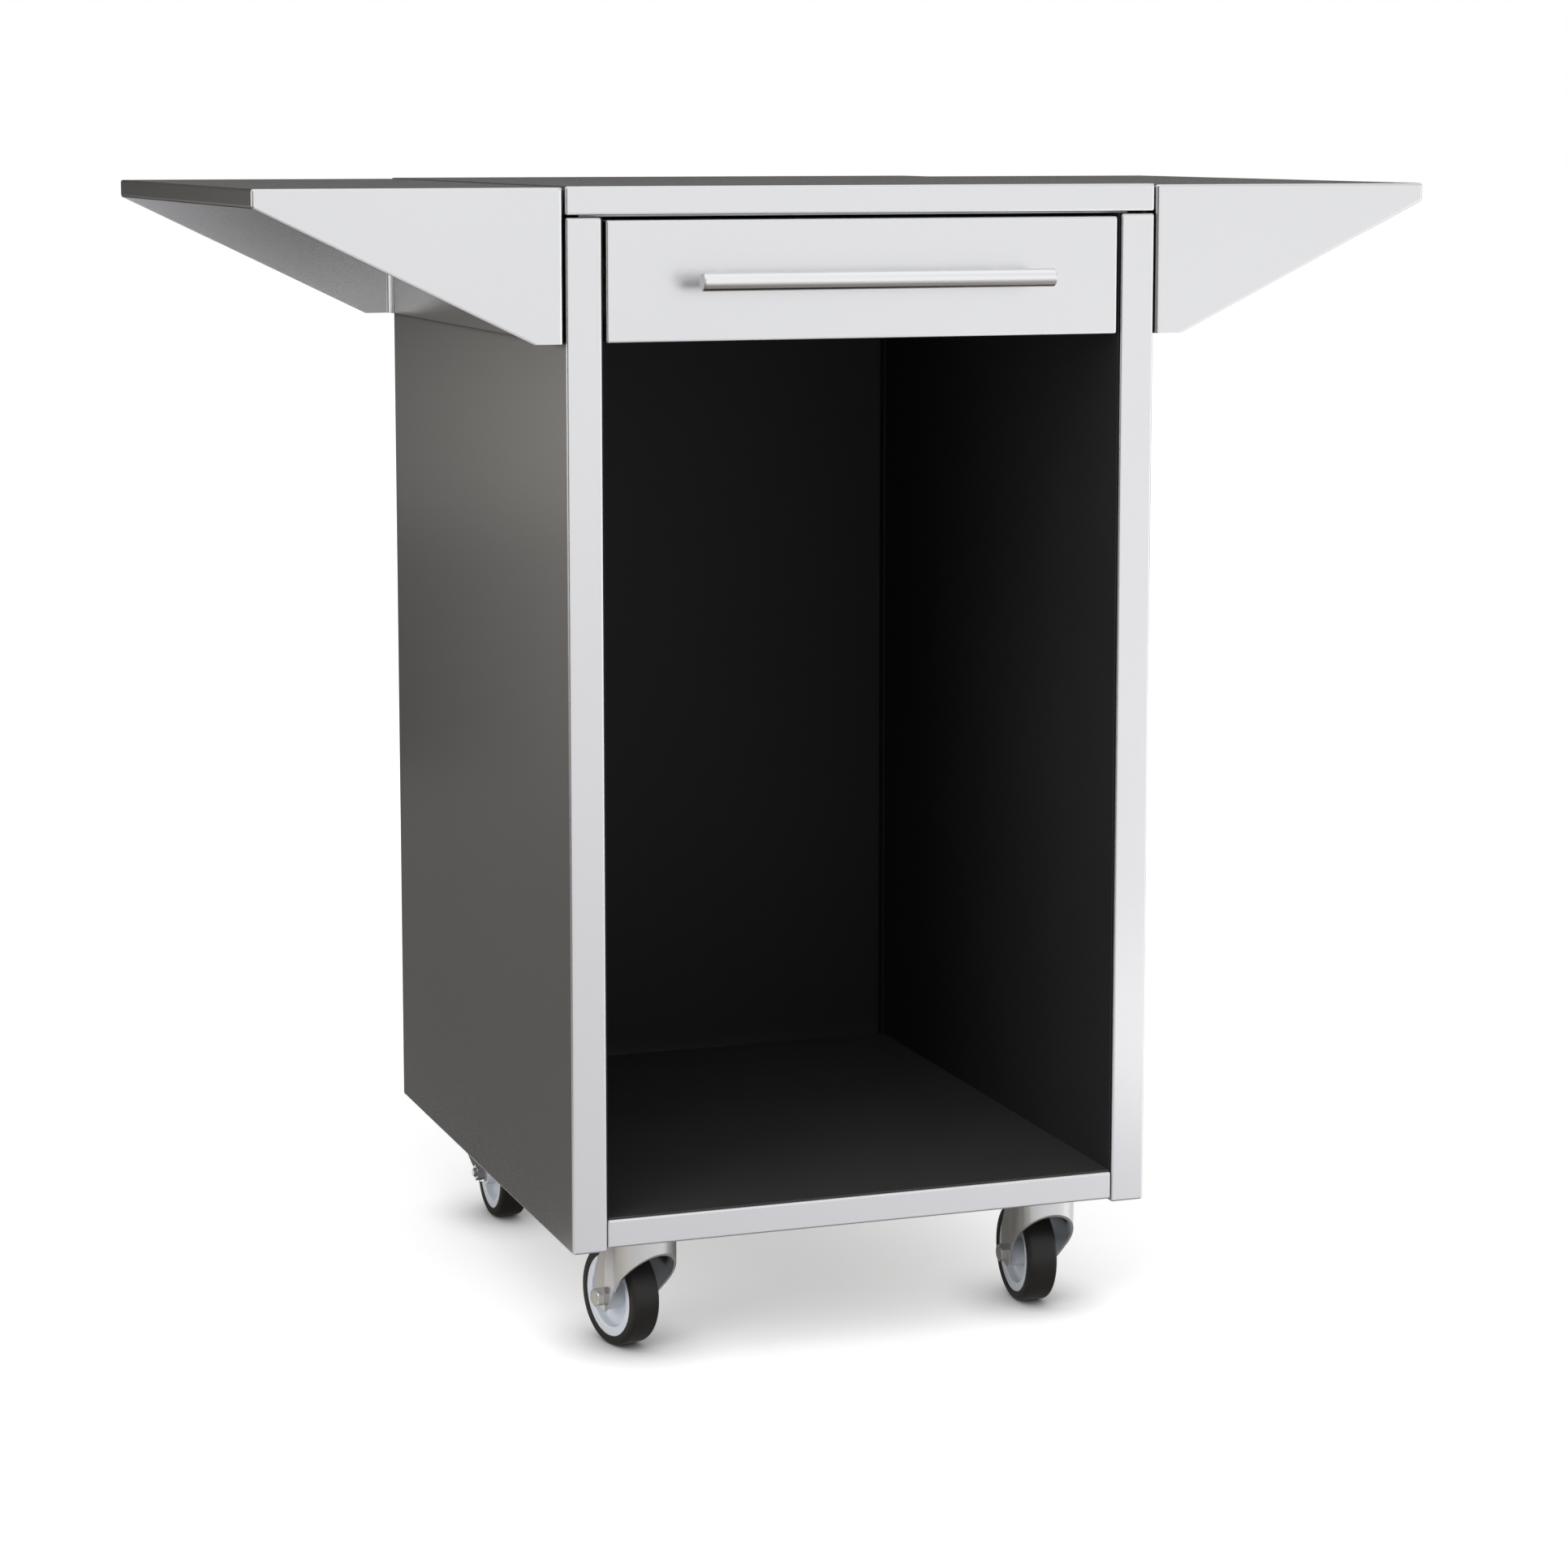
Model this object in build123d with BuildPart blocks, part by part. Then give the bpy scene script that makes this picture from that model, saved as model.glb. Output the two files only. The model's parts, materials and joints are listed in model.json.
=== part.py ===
"""Rolling cabinet for an outdoor kitchen: a folded stainless cabinet with one drawer over an open,
black-lined compartment, a worktop with a bracketed shelf on each side, and four swivel casters.

Millimetres, +X to the right, +Y to the back, +Z up. The origin is on the floor, under the middle
of the overall box, which reaches from the drawer handle at the front to the worktop at the back.
"""

import os

from build123d import *

# Cabinet
cabinet_width = 478.0
cabinet_depth = 538.0
worktop_height = 910.0
stile_width = 28.0  # front width of each double-walled side
tray_lip = 14.0  # lip folded in round the open face of a side
fascia_height = 21.5  # visible edge of the worktop
worktop_lip = 15.0
shadow_gap = 1.5  # dark line between the worktop and the sides
back_inset = 3.4  # sides stop short of the worktop's back edge
back_margin = 6.0
rail_height = 22.4  # front edge of the base
rail_setback = 0.6
rail_hem = 4.0
stile_overhang = 2.6  # the stiles hang this far below the base
liner_setback = 3.0
liner_flange = 12.0

# Sheet metal
sheet = 1.2
inside_bend = 0.8
bend = sheet + inside_bend

# Top rails, which carry the worktop on the sides
top_rail_width = 30.0
top_rail_foot = 20.0
top_rail_inset = 18.0

# Side shelves
shelf_reach = 235.0
shelf_step = 0.8  # the shelf tops lie this far below the worktop
shelf_gap = 1.5  # thickness of the mount plate between shelf and cabinet
shelf_edge = 14.0
cheek_drop = 116.0
cheek_flat = 23.5
cheek_round = 3.0
shelf_lip = 12.0  # returns round the open inner end, which lie on the mount plate
front_return = 30.0  # the front one is deeper, so the gap beside it looks black
mount_lap = 6.0  # how far the front return lies on the plate
lip_bend = 2.8  # inside bend between a cheek and its return
mount_bolt_drop = 45.0
mount_bolt_inset = 60.0

# Drawer
drawer_top_gap = 3.6
drawer_side_gap = 2.0
drawer_front_height = 91.5
drawer_front_depth = 15.0
drawer_front_lip = 14.0
drawer_box_height = 71.0
drawer_box_lift = 4.0
drawer_box_hem = 8.0
drawer_screw_pitch = 150.0

# Telescopic drawer runners
runner_length = 450.0
runner_start = 20.0
runner_height = 45.0
runner_width = 12.7
runner_flange = 10.5
runner_lip = 1.5  # depth of the lip that keeps the middle member in
runner_web_gap = 1.8
slide_clearance = 0.3

# Bar handle
bar_diameter = 14.0
bar_length = 284.0
bar_standoff = 28.0  # drawer face to the bar's axis
bar_chamfer = 0.8
post_diameter = 10.0
post_inset = 30.0
post_hole_depth = 14.0
handle_reach = bar_standoff + bar_diameter / 2

# Casters
caster_height = 107.0  # floor to the top of the caster plate
caster_inset_side = 70.0
caster_inset_end = 42.0
wheel_diameter = 80.0
wheel_trail = 35.0  # kingpin to axle
tyre_width = 25.0
tyre_thickness = 7.6
tyre_shoulder = 4.0
rim_width = 22.4
rim_thickness = 7.0
web_width = 5.6
web_round = 2.6
rim_round = 1.2
hub_diameter = 22.4
axle_clearance = 0.05
sleeve_diameter = 12.0
fork_sheet = 2.0
fork_gap = 34.0  # between the pads of the two legs
fork_side_clearance = 0.4
nose_radius = 25.4  # round front of the fork, about the kingpin
nose_height = 17.0
pad_lead = 7.0  # axle to the fold where each leg flares out to the nose
pad_tail = 7.5  # axle to the straight back edge of the leg
pad_rise = 22.0  # axle to the top of that edge
pad_drop = 10.9  # axle to the tip of the leg, which lies on the fold
heel_drop = 7.0
foot_reach = 11.0  # fold to the corner where the lower edge starts to climb
foot_round = 2.5
crown_back = 22.0
crown_round = 3.0
crown_sheet = 2.5
plate_length = 77.0
plate_width = 67.0
plate_sheet = 2.5
plate_corner = 8.0
plate_pitch_along = 61.5
plate_pitch_across = 51.5
race_inner_radius = 14.0
race_outer_radius = 22.0
kingpin_diameter = 10.0
kingpin_head_diameter = 18.0
kingpin_head_height = 3.0
swivel_clearance = 0.3
pin_clearance = 0.1
channel_depth = 13.8  # channels between the casters and the base
channel_width = 70.0
channel_lip = 12.0
channel_end_gap = 2.0

# Fasteners
m8_diameter = 8.0
m8_hex = 13.0
m8_head_height = 5.3
m8_nut_height = 6.5
m8_tail = 2.0
m6_diameter = 6.0
m6_hex = 10.0
m6_head_height = 4.0
m6_nut_height = 5.0
m6_tail = 2.0
thread_clearance = 0.05
hole_clearance = 0.1
screw_diameter = 4.0
screw_head_diameter = 8.0
screw_head_height = 2.0
screw_length = 8.0
screw_edge = 3.2  # screw axis to the edge of the lip it bites
rivet_diameter = 4.0
rivet_head_diameter = 7.5
rivet_head_height = 1.2
rivet_tail_diameter = 6.0
rivet_tail_height = 2.0
rivet_edge = 4.5  # rivet axis to the edge of the lip it joins
base_rivet_inset = 130.0

# Where the pieces meet
half_width = cabinet_width / 2
front = (handle_reach - cabinet_depth) / 2
back = front + cabinet_depth
middle_y = (front + back) / 2
side_back = back - back_inset
inner_x = half_width - stile_width
liner_x = inner_x - sheet
rear_y = side_back - tray_lip
base_top = caster_height + channel_depth + sheet
rail_bottom = base_top - rail_height
stile_bottom = rail_bottom - stile_overhang
fascia_bottom = worktop_height - fascia_height
side_top = fascia_bottom - shadow_gap
worktop_underside = worktop_height - sheet
drawer_top = fascia_bottom - drawer_top_gap
drawer_bottom = drawer_top - drawer_front_height
drawer_back = front + drawer_front_depth
drawer_box_depth = runner_start + runner_length - drawer_front_depth
box_bottom = drawer_bottom + drawer_box_lift
box_top = box_bottom + drawer_box_height
box_x = liner_x - runner_width
runner_y = (front + runner_start, front + runner_start + runner_length)
runner_z = (box_bottom + box_top) / 2
handle_z = (drawer_bottom + drawer_top) / 2
bar_y = front - bar_standoff
post_x = bar_length / 2 - post_inset
shelf_inner = half_width + shelf_gap
shelf_outer = half_width + shelf_reach
shelf_top = worktop_height - shelf_step
shelf_bottom = shelf_top - cheek_drop
mount_bolt_z = worktop_height - mount_bolt_drop
mount_bolt_y = (front + mount_bolt_inset, middle_y, back - mount_bolt_inset)
wheel_radius = wheel_diameter / 2
tyre_seat = wheel_radius - tyre_thickness
pad_inner = fork_gap / 2
pad_outer = pad_inner + fork_sheet
pad_fold = wheel_trail - pad_lead
pad_back = wheel_trail + pad_tail
pad_middle = (pad_fold + pad_back) / 2
pad_length = pad_back - pad_fold
hub_length = fork_gap - 2 * fork_side_clearance
plate_bottom = caster_height - plate_sheet
race_height = plate_sheet / 2
crown_top = plate_bottom - race_height - swivel_clearance
crown_underside = crown_top - crown_sheet
axle = Axis((0, wheel_trail, wheel_radius), (1, 0, 0))
kingpin_x = half_width - caster_inset_side
kingpin_front = front + caster_inset_end
kingpin_back = back - caster_inset_end
corners = {
    "front_left": (-kingpin_x, kingpin_front),
    "front_right": (kingpin_x, kingpin_front),
    "rear_left": (-kingpin_x, kingpin_back),
    "rear_right": (kingpin_x, kingpin_back),
}
# How far each caster is swivelled at rest, from trailing straight back
swivel_rest = {"front_left": 14.5, "front_right": -2.0, "rear_left": 181.5, "rear_right": 170.0}
base_rivet_z = stile_bottom + tray_lip - rivet_edge
base_rivet_y = (front + base_rivet_inset, middle_y, back - base_rivet_inset)
back_screw_x = half_width - stile_width / 2
back_screw_rows = 5
rail_rivet_x = inner_x + (stile_width - worktop_lip) / 2
top_rail_places = {
    "front_top_rail": front + top_rail_inset,
    "rear_top_rail": side_back - top_rail_inset - top_rail_width,
}

os.makedirs("parts", exist_ok=True)


def save(piece, name):
    """Labels a finished piece and writes it under the same name."""
    piece.part.label = name
    export_step(piece.part, f"parts/{name}.step")


def inset(span, by):
    """A span drawn in by the same amount at both ends."""
    return span[0] + by, span[1] - by


def block(x, y, z, mode=Mode.ADD):
    """Adds a box to the part in hand that fills a span on each axis."""
    spans = (x, y, z)
    with Locations(tuple((low + high) / 2 for low, high in spans)):
        Box(*(high - low for low, high in spans), mode=mode)


def folded_tray(x, y, z, window):
    """A box folded from sheet, with every fold rounded and a window left open in one wall."""
    with BuildPart() as outside:
        block(x, y, z)
        fillet(outside.edges(), bend)
    with BuildPart() as inside:
        block(inset(x, sheet), inset(y, sheet), inset(z, sheet))
        fillet(inside.edges(), inside_bend)
    with BuildPart() as tray:
        add(outside.part)
        add(inside.part, mode=Mode.SUBTRACT)
        block(*window, mode=Mode.SUBTRACT)
    return tray


def drill_through(plane, places, diameter, depth):
    """Drills round holes of one size into the part in hand, both ways from a plane."""
    with BuildSketch(plane) as holes:
        with Locations(*places):
            Circle(diameter / 2)
    extrude(holes.sketch, amount=depth, both=True, mode=Mode.SUBTRACT)


def mirrored(piece):
    """The right-hand twin of a left-hand piece."""
    with BuildPart() as twin:
        mirror(piece.part, about=Plane.YZ)
    return twin


def gathered(piece, places):
    """Copies of one piece at several places, as separate solids of one group."""
    with BuildPart() as group:
        with Locations(*places):
            add(piece.part)
    return group


def hex_bolt(diameter, hexagon, head_height, length):
    """A hexagon bolt with its head below the XY plane and its shank along +Z."""
    with BuildPart() as bolt:
        with BuildSketch():
            RegularPolygon(hexagon / 2, 6, major_radius=False)
        extrude(amount=-head_height)
        chamfer(bolt.faces().sort_by(Axis.Z)[0].edges(), head_height / 8)
        with BuildSketch():
            Circle(diameter / 2)
        extrude(amount=length)
    return bolt


def hex_nut(diameter, hexagon, height):
    """A hexagon nut standing on the XY plane."""
    with BuildPart() as nut:
        with BuildSketch():
            RegularPolygon(hexagon / 2, 6, major_radius=False)
            Circle(diameter / 2 + thread_clearance, mode=Mode.SUBTRACT)
        extrude(amount=height)
    return nut


def headed_pin(diameter, head_diameter, head_height, length):
    """A domed head below the XY plane on a plain shank along +Z."""
    with BuildPart() as pin:
        with BuildSketch():
            Circle(head_diameter / 2)
        extrude(amount=-head_height)
        fillet(pin.edges().sort_by(Axis.Z)[0], head_height / 2)
        with BuildSketch():
            Circle(diameter / 2)
        extrude(amount=length)
    return pin


# Double-walled sides: the outer skin, front stile, back flange, top and foot are one folded tray
left_side_tray = folded_tray(
    (-half_width, -inner_x),
    (front, side_back),
    (stile_bottom, side_top),
    (
        (-inner_x - 2 * sheet, -inner_x + sheet),
        inset((front, side_back), tray_lip),
        inset((stile_bottom, side_top), tray_lip),
    ),
)
back_screw_span = (stile_bottom + 4 * back_margin, side_top - 4 * back_margin)
back_screw_step = (back_screw_span[1] - back_screw_span[0]) / (back_screw_rows - 1)
back_screw_z = [back_screw_span[0] + row * back_screw_step for row in range(back_screw_rows)]
with BuildPart() as left_side_panel:
    add(left_side_tray.part)
    drill_through(
        Plane.YZ.offset(-half_width),
        [(y, mount_bolt_z) for y in mount_bolt_y],
        m6_diameter + 2 * hole_clearance,
        bend,
    )
    drill_through(
        Plane.YZ.offset(-inner_x),
        [(y, base_rivet_z) for y in base_rivet_y],
        rivet_diameter,
        bend,
    )
    drill_through(
        Plane.XZ.offset(-side_back),
        [(-back_screw_x, z) for z in back_screw_z],
        screw_diameter,
        bend,
    )
    drill_through(
        Plane.XY.offset(side_top),
        [(-rail_rivet_x, y + top_rail_foot / 2) for y in top_rail_places.values()],
        rivet_diameter,
        bend,
    )
right_side_panel = mirrored(left_side_panel)
save(left_side_panel, "left_side_panel")
save(right_side_panel, "right_side_panel")

# Worktop: a shallow tray, open underneath
worktop = folded_tray(
    (-half_width, half_width),
    (front, back),
    (fascia_bottom, worktop_height),
    (
        inset((-half_width, half_width), worktop_lip),
        inset((front, back), worktop_lip),
        (fascia_bottom - sheet, fascia_bottom + 2 * sheet),
    ),
)
save(worktop, "worktop")

# Top rails: channels that stand on the sides and hold the worktop up
for rail_name, rail_y in top_rail_places.items():
    with BuildPart() as top_rail:
        with BuildSketch(Plane.YZ.offset(-half_width + worktop_lip + slide_clearance)):
            with BuildLine():
                Polyline(
                    (rail_y, side_top),
                    (rail_y + top_rail_foot, side_top),
                    (rail_y + top_rail_foot, side_top + sheet),
                    (rail_y + sheet, side_top + sheet),
                    (rail_y + sheet, worktop_underside - sheet),
                    (rail_y + top_rail_width, worktop_underside - sheet),
                    (rail_y + top_rail_width, worktop_underside),
                    (rail_y, worktop_underside),
                    close=True,
                )
            make_face()
        extrude(amount=2 * (half_width - worktop_lip - slide_clearance))
        drill_through(
            Plane.XY.offset(side_top),
            [(side * rail_rivet_x, rail_y + top_rail_foot / 2) for side in (-1, 1)],
            rivet_diameter,
            bend,
        )
    save(top_rail, rail_name)

# Back panel: one sheet over the back flanges of both sides, stiffened along its top
with BuildPart() as back_panel:
    block(
        inset((-half_width, half_width), back_margin),
        (side_back, side_back + sheet),
        (stile_bottom + back_margin, side_top),
    )
    fillet(back_panel.edges().filter_by(Axis.Y), back_margin / 2)
    block(
        inset((-inner_x, inner_x), slide_clearance),
        (side_back - liner_flange, side_back),
        (side_top - sheet, side_top),
    )
    drill_through(
        Plane.XZ.offset(-side_back),
        [(side * back_screw_x, z) for side in (-1, 1) for z in back_screw_z],
        screw_diameter,
        bend,
    )
save(back_panel, "back_panel")

# Base: a tray open underneath, with its front edge as the rail below the compartment
base_tray = folded_tray(
    (-inner_x, inner_x),
    (front + rail_setback, side_back),
    (rail_bottom, base_top),
    (
        inset((-inner_x, inner_x), rail_hem),
        inset((front + rail_setback, side_back), rail_hem),
        (rail_bottom - sheet, rail_bottom + 2 * sheet),
    ),
)
with BuildPart() as base_pan:
    add(base_tray.part)
    for side in (-1, 1):
        drill_through(
            Plane.YZ.offset(side * inner_x),
            [(y, base_rivet_z) for y in base_rivet_y],
            rivet_diameter,
            bend,
        )
save(base_pan, "base_pan")

# Black liners of the compartment
with BuildPart() as left_liner:
    block((-inner_x, -liner_x), (front + liner_setback, rear_y), (base_top, side_top))
right_liner = mirrored(left_liner)
save(left_liner, "left_liner")
save(right_liner, "right_liner")

with BuildPart() as rear_liner:
    block((-liner_x, liner_x), (rear_y - liner_flange, rear_y), (base_top, side_top))
    fillet(rear_liner.edges().filter_by(Axis.Z).sort_by(Axis.Y)[-2:], inside_bend)
    block(
        (-liner_x + sheet, liner_x - sheet),
        (rear_y - liner_flange, rear_y - sheet),
        (base_top, side_top),
        mode=Mode.SUBTRACT,
    )
save(rear_liner, "rear_liner")

with BuildPart() as floor_liner:
    block(
        (-liner_x, liner_x),
        (front + rail_setback + bend, rear_y - liner_flange),
        (base_top, base_top + sheet),
    )
save(floor_liner, "floor_liner")

# Side shelves: top, outer edge and two tapered cheeks folded from one sheet, open underneath and inwards
with BuildPart() as left_shelf_form:
    with BuildSketch(Plane.XZ.offset(-back)) as cheek_outline:
        with BuildLine():
            Polyline(
                (-shelf_inner, shelf_top),
                (-shelf_outer, shelf_top),
                (-shelf_outer, shelf_top - shelf_edge),
                (-shelf_inner - cheek_flat, shelf_bottom),
                (-shelf_inner, shelf_bottom),
                close=True,
            )
        make_face()
        fillet(cheek_outline.vertices().sort_by(Axis.X)[:2].sort_by(Axis.Y)[0], cheek_round)
    extrude(amount=cabinet_depth)
    fillet(left_shelf_form.edges().filter_by(Axis.Z).group_by(Axis.X)[-1], lip_bend + sheet)
    outer_folds = left_shelf_form.edges().filter_by(Axis.Z).group_by(Axis.X)[0]
    fillet(left_shelf_form.faces().sort_by(Axis.Z)[-1].edges() + outer_folds, bend)

with BuildPart() as left_shelf_hollow:
    block(
        (-shelf_outer + sheet, -shelf_inner - sheet),
        inset((front, back), sheet),
        (shelf_bottom - sheet, shelf_top - sheet),
    )
    fillet(left_shelf_hollow.edges().filter_by(Axis.Z).group_by(Axis.X)[-1], lip_bend)
    hollow_folds = left_shelf_hollow.edges().filter_by(Axis.Z).group_by(Axis.X)[0]
    fillet(left_shelf_hollow.faces().sort_by(Axis.Z)[-1].edges() + hollow_folds, inside_bend)

with BuildPart() as left_shelf:
    add(left_shelf_form.part)
    add(left_shelf_hollow.part, mode=Mode.SUBTRACT)
    block(
        (-shelf_inner - 2 * sheet, -shelf_inner + sheet),
        (front + front_return, back - shelf_lip),
        (shelf_bottom - sheet, shelf_top - shelf_lip),
        mode=Mode.SUBTRACT,
    )
right_shelf = mirrored(left_shelf)
save(left_shelf, "left_shelf")
save(right_shelf, "right_shelf")

# Shelf mounts: a plate bolted to the cabinet's side, with the shelf's returns welded to it
with BuildPart() as left_shelf_mount:
    block(
        (-shelf_inner, -half_width),
        (front + front_return - mount_lap, side_back),
        (shelf_bottom, shelf_top - bend),
    )
    drill_through(
        Plane.YZ.offset(-half_width),
        [(y, mount_bolt_z) for y in mount_bolt_y],
        m6_diameter + 2 * hole_clearance,
        shelf_gap,
    )
right_shelf_mount = mirrored(left_shelf_mount)
save(left_shelf_mount, "left_shelf_mount")
save(right_shelf_mount, "right_shelf_mount")

# Channels that spread the casters' load under the base
channel_half = inner_x - sheet - channel_end_gap
for channel_name, channel_y in (
    ("front_caster_channel", kingpin_front),
    ("rear_caster_channel", kingpin_back),
):
    with BuildPart() as channel:
        wall_y = (channel_y - channel_width / 2, channel_y + channel_width / 2)
        block((-channel_half, channel_half), wall_y, (caster_height, base_top - sheet))
        fillet(channel.edges().filter_by(Axis.X), bend)
        block(
            (-channel_half, channel_half),
            inset(wall_y, sheet),
            (caster_height + sheet, base_top - 2 * sheet),
            mode=Mode.SUBTRACT,
        )
        block(
            (-channel_half, channel_half),
            inset(wall_y, channel_lip),
            (caster_height + sheet, base_top),
            mode=Mode.SUBTRACT,
        )
        for side in (-1, 1):
            with BuildSketch(Plane.XY.offset(caster_height)):
                with Locations((side * kingpin_x, channel_y)):
                    with GridLocations(plate_pitch_along, plate_pitch_across, 2, 2):
                        Circle(m6_diameter / 2 + hole_clearance)
            extrude(amount=bend, mode=Mode.SUBTRACT)
    save(channel, channel_name)

# Drawer: a folded front, a tray behind it and a bar handle
drawer_front_x = liner_x - drawer_side_gap
drawer_front_tray = folded_tray(
    (-drawer_front_x, drawer_front_x),
    (front, drawer_back),
    (drawer_bottom, drawer_top),
    (
        inset((-drawer_front_x, drawer_front_x), drawer_front_lip),
        (drawer_back - 2 * sheet, drawer_back + sheet),
        inset((drawer_bottom, drawer_top), drawer_front_lip),
    ),
)
post_places = [(side * post_x, handle_z) for side in (-1, 1)]
drawer_screw_z = drawer_bottom + drawer_front_lip - screw_edge
drawer_screw_places = [(step * drawer_screw_pitch, drawer_screw_z) for step in (-1, 0, 1)]
with BuildPart() as drawer_front:
    add(drawer_front_tray.part)
    drill_through(Plane.XZ.offset(-front), post_places, screw_diameter, bend)
    drill_through(Plane.XZ.offset(-drawer_back), drawer_screw_places, screw_diameter, bend)
save(drawer_front, "drawer_front")

box_y = (drawer_back, drawer_back + drawer_box_depth)
drawer_box_tray = folded_tray(
    (-box_x, box_x),
    box_y,
    (box_bottom, box_top),
    (
        inset((-box_x, box_x), drawer_box_hem),
        inset(box_y, drawer_box_hem),
        (box_top - 2 * sheet, box_top + sheet),
    ),
)
with BuildPart() as drawer_box:
    add(drawer_box_tray.part)
    drill_through(
        Plane.XZ.offset(-drawer_back), post_places + drawer_screw_places, screw_diameter, bend
    )
save(drawer_box, "drawer_box")

with BuildPart() as handle_bar:
    with BuildSketch(Plane.YZ.offset(-bar_length / 2)):
        with Locations((bar_y, handle_z)):
            Circle(bar_diameter / 2)
    extrude(amount=bar_length)
    chamfer(handle_bar.edges().filter_by(GeomType.CIRCLE), bar_chamfer)
save(handle_bar, "handle_bar")

with BuildPart() as handle_posts:
    with BuildSketch(Plane.XZ.offset(-front)):
        with Locations(*post_places):
            Circle(post_diameter / 2)
    extrude(amount=bar_standoff)
    with BuildSketch(Plane.YZ.offset(-bar_length / 2)):
        with Locations((bar_y, handle_z)):
            Circle(bar_diameter / 2)
    extrude(amount=bar_length, mode=Mode.SUBTRACT)
    with BuildSketch(Plane.XZ.offset(-front)):
        with Locations(*post_places):
            Circle(screw_diameter / 2)
    extrude(amount=post_hole_depth, mode=Mode.SUBTRACT)
save(handle_posts, "handle_posts")

# Handle screws reach from inside the drawer into the posts; short ones hold box and front together
handle_screw = headed_pin(
    screw_diameter,
    screw_head_diameter,
    screw_head_height,
    drawer_front_depth + sheet + post_hole_depth,
)
drawer_screw = headed_pin(screw_diameter, screw_head_diameter, screw_head_height, screw_length)
inside_front = drawer_back + sheet
with BuildPart() as drawer_screws:
    with Locations(*[Location((x, inside_front, z), (90, 0, 0)) for x, z in post_places]):
        add(handle_screw.part)
    with Locations(*[Location((x, inside_front, z), (90, 0, 0)) for x, z in drawer_screw_places]):
        add(drawer_screw.part)
save(drawer_screws, "drawer_screws")

# Three nested runner members on each side, as sections across the left-hand runner
flange_out = runner_height / 2
outer_inside = flange_out - sheet
middle_out = outer_inside - slide_clearance
middle_inside = middle_out - sheet
inner_out = middle_inside - slide_clearance
lip_edge = outer_inside - runner_lip
middle_web = sheet + runner_web_gap
middle_tip = runner_flange - sheet - slide_clearance
inner_tip = middle_web + sheet + slide_clearance


def lipped_channel(web, tip, half, lip):
    """Half of a channel section, as distances from the liner and from the runner's middle."""
    return [
        (web, 0),
        (web, half),
        (tip, half),
        (tip, half - lip),
        (tip - sheet, half - lip),
        (tip - sheet, half - sheet),
        (web + sheet, half - sheet),
        (web + sheet, 0),
    ]


def open_channel(web, tip, half):
    """As lipped_channel, with plain flanges that may point either way from the web."""
    inward = sheet if tip > web else -sheet
    return [
        (web, 0),
        (web, half),
        (tip, half),
        (tip, half - sheet),
        (web + inward, half - sheet),
        (web + inward, 0),
    ]


runner_sections = {
    "runner_outer": lipped_channel(0, runner_flange, flange_out, sheet + runner_lip),
    "runner_middle": open_channel(middle_web, middle_tip, middle_out),
    "runner_inner": open_channel(runner_width, inner_tip, min(inner_out, lip_edge - slide_clearance)),
}
for member, half_section in runner_sections.items():
    with BuildPart() as left_member:
        with BuildSketch(Plane.XZ.offset(-runner_y[1])):
            with BuildLine():
                upper = [(-liner_x + across, runner_z + up) for across, up in half_section]
                lower = [(-liner_x + across, runner_z - up) for across, up in half_section]
                Polyline(*upper, *lower[-2:0:-1], close=True)
            make_face()
        extrude(amount=runner_length)
    save(left_member, f"left_{member}")
    save(mirrored(left_member), f"right_{member}")

# Caster pieces, made with the kingpin on the Z axis and the wheel trailing towards +Y
with BuildPart() as fork:
    leg_foot = wheel_radius - pad_drop
    with BuildSketch(Plane.XY.offset(leg_foot)):
        Circle(nose_radius)
        with Locations((0, pad_fold - fork_sheet / 2)):
            Rectangle(2 * pad_outer, fork_sheet)
        make_hull()
        with Locations((0, pad_middle)):
            Rectangle(2 * pad_outer, pad_length)
    extrude(amount=crown_top - leg_foot)
    fillet(fork.faces().sort_by(Axis.Z)[-1].edges(), crown_round)
    with BuildSketch(Plane.XY.offset(leg_foot)):
        Circle(nose_radius - fork_sheet)
        with Locations((0, pad_fold - fork_sheet / 2)):
            Rectangle(fork_gap, fork_sheet)
        make_hull()
        with Locations((0, pad_back)):
            Rectangle(fork_gap, 2 * pad_length)
    extrude(amount=crown_underside - leg_foot, mode=Mode.SUBTRACT)
    with BuildSketch(Plane.YZ) as leg_side:
        Polygon(
            (pad_fold - foot_reach, wheel_radius),
            (pad_fold, leg_foot),
            (pad_back, wheel_radius - heel_drop),
            (pad_back, wheel_radius + pad_rise),
            align=None,
        )
        with Locations(((crown_back - nose_radius) / 2, crown_top - nose_height / 2)):
            Rectangle(crown_back + nose_radius, nose_height)
        make_hull()
        fillet(leg_side.vertices().sort_by(Axis.Y)[:3], foot_round)
    extrude(amount=2 * nose_radius, both=True, mode=Mode.INTERSECT)
    drill_through(Plane.XY.offset(crown_top), [(0, 0)], kingpin_diameter + 2 * pin_clearance, crown_sheet * 2)
    drill_through(
        Plane.YZ, [(wheel_trail, wheel_radius)], m8_diameter + 2 * hole_clearance, 2 * pad_outer
    )

with BuildPart() as caster_plate:
    with BuildSketch(Plane.XY.offset(plate_bottom)):
        RectangleRounded(plate_length, plate_width, plate_corner)
        Circle(kingpin_diameter / 2, mode=Mode.SUBTRACT)
        with GridLocations(plate_pitch_along, plate_pitch_across, 2, 2):
            Circle(m6_diameter / 2 + hole_clearance, mode=Mode.SUBTRACT)
    extrude(amount=plate_sheet)
    with BuildSketch(Plane.XY.offset(plate_bottom)):
        Circle(race_outer_radius)
        Circle(race_inner_radius, mode=Mode.SUBTRACT)
    extrude(amount=-race_height)

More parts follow.
